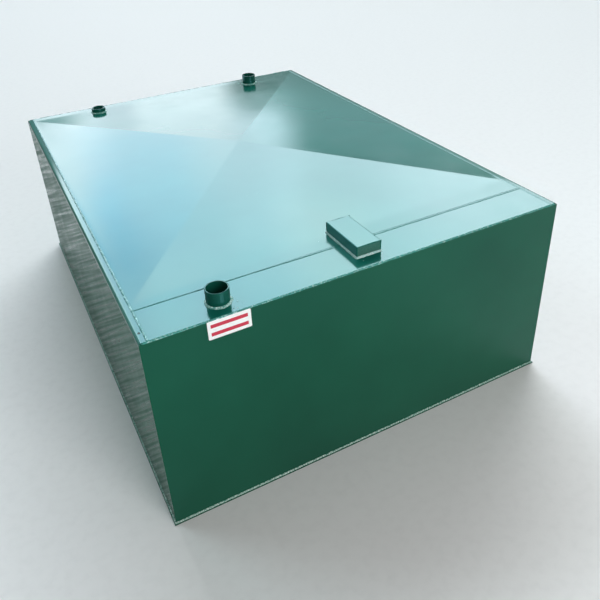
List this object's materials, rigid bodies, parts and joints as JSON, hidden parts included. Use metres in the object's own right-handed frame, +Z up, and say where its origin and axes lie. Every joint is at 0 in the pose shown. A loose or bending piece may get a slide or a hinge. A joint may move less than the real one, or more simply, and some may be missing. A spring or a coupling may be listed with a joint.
{
  "type": "bunded oil tank",
  "caption": "Low rectangular welded steel oil tank in a steel bund, with a cross-broken top, threaded vent pipes, a fill socket and an overflow box.",
  "frame": {"origin": "middle of the underside of the bund's base plate", "axes": "+Z up, -Y towards the front with the cover strip, +X to the right seen from the front"},
  "size_m": [1.26, 1.71, 0.6474],
  "materials": {
    "green_paint": "gloss",
    "primed_steel": "matt"
  },
  "bodies": {
    "root": {"bund_base": "green_paint", "bund_front_panel": "green_paint", "bund_back_panel": "green_paint", "bund_left_panel": "green_paint", "bund_right_panel": "green_paint", "bund_cover_strip": "green_paint", "tank_top_sheet": "green_paint", "tank_base": "primed_steel", "tank_front_wall": "primed_steel", "tank_back_wall": "primed_steel", "tank_left_wall": "primed_steel", "tank_right_wall": "primed_steel", "bearer_1": "primed_steel", "bearer_2": "primed_steel", "bearer_3": "primed_steel", "bund_vent_nipple": "green_paint", "tank_vent_nipple": "green_paint", "fill_socket": "green_paint", "overflow_channel": "green_paint", "overflow_front_end": "green_paint", "overflow_back_end": "green_paint", "weld_base": "green_paint", "weld_top_front": "green_paint", "weld_top_back": "green_paint", "weld_left_seam": "green_paint", "weld_right_seam": "green_paint", "weld_cross_seam": "green_paint", "weld_bund_vent": "green_paint", "weld_tank_vent": "green_paint", "weld_fill_socket": "green_paint", "weld_overflow_box": "green_paint"}
  },
  "joints": []
}
